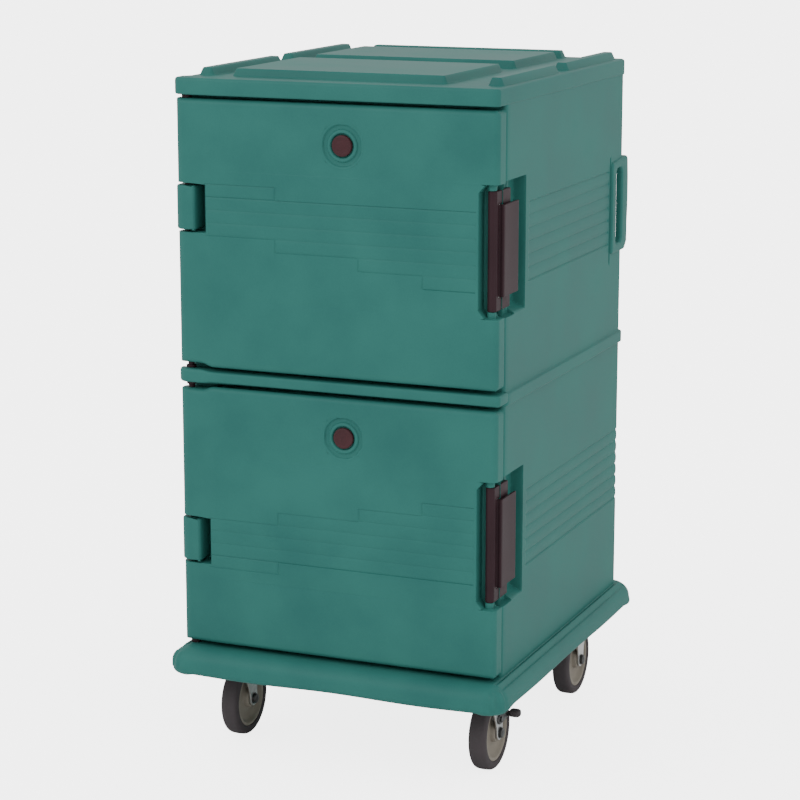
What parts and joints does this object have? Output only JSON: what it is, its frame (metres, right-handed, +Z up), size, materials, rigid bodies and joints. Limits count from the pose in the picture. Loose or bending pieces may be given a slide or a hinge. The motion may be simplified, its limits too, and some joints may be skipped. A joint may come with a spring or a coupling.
{
  "type": "insulated pan cabinet",
  "caption": "Tall insulated front-loading pan cabinet with two hinged latched doors, side latches, vent caps and a bumper skirt on casters.",
  "frame": {"origin": "on the floor under the centre of the bumper skirt", "axes": "+Z up, doors face -Y, latches on the +X side, hinges on the -X side"},
  "size_m": [0.72, 0.84, 1.372],
  "materials": {
    "green_shell": "satin rotomoulded polyethylene, green",
    "brown_nylon": "dark brown moulded nylon",
    "foam": "closed-cell polyurethane foam",
    "gasket": "dark grey extruded seal",
    "zinc": "zinc plated steel",
    "hub": "grey-beige moulded hub",
    "tyre": "grey-brown rubber tread"
  },
  "bodies": {
    "cabinet": {"cabinet_shell": "green_shell", "bumper_skirt": "green_shell", "left_grip": "green_shell", "right_grip": "green_shell", "lower_liner": "green_shell", "upper_liner": "green_shell", "foam_core": "foam", "base_fill_plug": "green_shell", "top_hinge_pin": "brown_nylon", "upper_knuckle_pin": "brown_nylon", "rail_upper_pin": "brown_nylon", "rail_lower_pin": "brown_nylon", "lower_knuckle_pin": "brown_nylon", "bottom_hinge_pin": "brown_nylon", "front_left_backing_plate": "zinc", "front_right_backing_plate": "zinc", "rear_left_backing_plate": "zinc", "rear_right_backing_plate": "zinc", "front_left_caster_plate": "zinc", "front_right_caster_plate": "zinc", "front_left_kingpin": "zinc", "front_right_kingpin": "zinc", "rear_left_fork": "zinc", "rear_right_fork": "zinc", "rear_left_axle_bolt": "zinc", "rear_right_axle_bolt": "zinc"},
    "upper_door": {"upper_door_shell": "green_shell", "upper_door_foam": "foam", "upper_door_gasket": "gasket", "upper_door_fill_plug": "green_shell", "upper_latch_pin": "zinc"},
    "upper_latch": {"upper_latch_link": "brown_nylon", "upper_paddle_pin": "zinc"},
    "upper_paddle": {"upper_latch_paddle": "brown_nylon"},
    "upper_vent": {"upper_vent_cap": "brown_nylon"},
    "lower_door": {"lower_door_shell": "green_shell", "lower_door_foam": "foam", "lower_door_gasket": "gasket", "lower_door_fill_plug": "green_shell", "lower_latch_pin": "zinc"},
    "lower_latch": {"lower_latch_link": "brown_nylon", "lower_paddle_pin": "zinc"},
    "lower_paddle": {"lower_latch_paddle": "brown_nylon"},
    "lower_vent": {"lower_vent_cap": "brown_nylon"},
    "front_left_caster": {"front_left_fork": "zinc", "front_left_axle_bolt": "zinc"},
    "front_left_wheel": {"front_left_hub": "hub", "front_left_tyre": "tyre"},
    "rear_left_wheel": {"rear_left_hub": "hub", "rear_left_tyre": "tyre"},
    "front_right_caster": {"front_right_fork": "zinc", "front_right_axle_bolt": "zinc", "brake_pivot_pin": "zinc"},
    "front_right_wheel": {"front_right_hub": "hub", "front_right_tyre": "tyre"},
    "rear_right_wheel": {"rear_right_hub": "hub", "rear_right_tyre": "tyre"},
    "brake": {"brake_pedal": "tyre"}
  },
  "joints": [
    {"name": "upper_door_hinge", "type": "hinge", "parent": "cabinet", "child": "upper_door", "pos_m": [-0.321, -0.357, 1.055], "axis": [0, 0, -1], "range_deg": [0, 180]},
    {"name": "upper_latch_swing", "type": "hinge", "parent": "upper_door", "child": "upper_latch", "pos_m": [0.3115, -0.361, 1.055], "axis": [0, 0, -1], "range_deg": [0, 90]},
    {"name": "upper_paddle_swing", "type": "hinge", "parent": "upper_latch", "child": "upper_paddle", "pos_m": [0.3175, -0.344, 1.055], "axis": [0, 0, -1], "range_deg": [0, 30]},
    {"name": "upper_vent_pull", "type": "slide", "parent": "upper_door", "child": "upper_vent", "axis": [0, -1, 0], "range_m": [0, 0.006]},
    {"name": "lower_door_hinge", "type": "hinge", "parent": "cabinet", "child": "lower_door", "pos_m": [-0.321, -0.357, 0.492], "axis": [0, 0, -1], "range_deg": [0, 180]},
    {"name": "lower_latch_swing", "type": "hinge", "parent": "lower_door", "child": "lower_latch", "pos_m": [0.3115, -0.361, 0.492], "axis": [0, 0, -1], "range_deg": [0, 90]},
    {"name": "lower_paddle_swing", "type": "hinge", "parent": "lower_latch", "child": "lower_paddle", "pos_m": [0.3175, -0.344, 0.492], "axis": [0, 0, -1], "range_deg": [0, 30]},
    {"name": "lower_vent_pull", "type": "slide", "parent": "lower_door", "child": "lower_vent", "axis": [0, -1, 0], "range_m": [0, 0.006]},
    {"name": "front_left_swivel", "type": "hinge", "parent": "cabinet", "child": "front_left_caster", "pos_m": [-0.27, -0.272, 0.175], "axis": [0, 0, 1], "continuous": true},
    {"name": "front_left_spin", "type": "hinge", "parent": "front_left_caster", "child": "front_left_wheel", "pos_m": [-0.27, -0.248, 0.0762], "axis": [1, 0, 0], "continuous": true},
    {"name": "rear_left_spin", "type": "hinge", "parent": "cabinet", "child": "rear_left_wheel", "pos_m": [-0.27, 0.252, 0.0762], "axis": [1, 0, 0], "continuous": true},
    {"name": "front_right_swivel", "type": "hinge", "parent": "cabinet", "child": "front_right_caster", "pos_m": [0.27, -0.272, 0.175], "axis": [0, 0, 1], "continuous": true},
    {"name": "front_right_spin", "type": "hinge", "parent": "front_right_caster", "child": "front_right_wheel", "pos_m": [0.27, -0.248, 0.0762], "axis": [1, 0, 0], "continuous": true},
    {"name": "rear_right_spin", "type": "hinge", "parent": "cabinet", "child": "rear_right_wheel", "pos_m": [0.27, 0.252, 0.0762], "axis": [1, 0, 0], "continuous": true},
    {"name": "brake_press", "type": "hinge", "parent": "front_right_caster", "child": "brake", "pos_m": [0.2935, -0.254, 0.1062], "axis": [-1, 0, 0], "range_deg": [0, 15]}
  ]
}
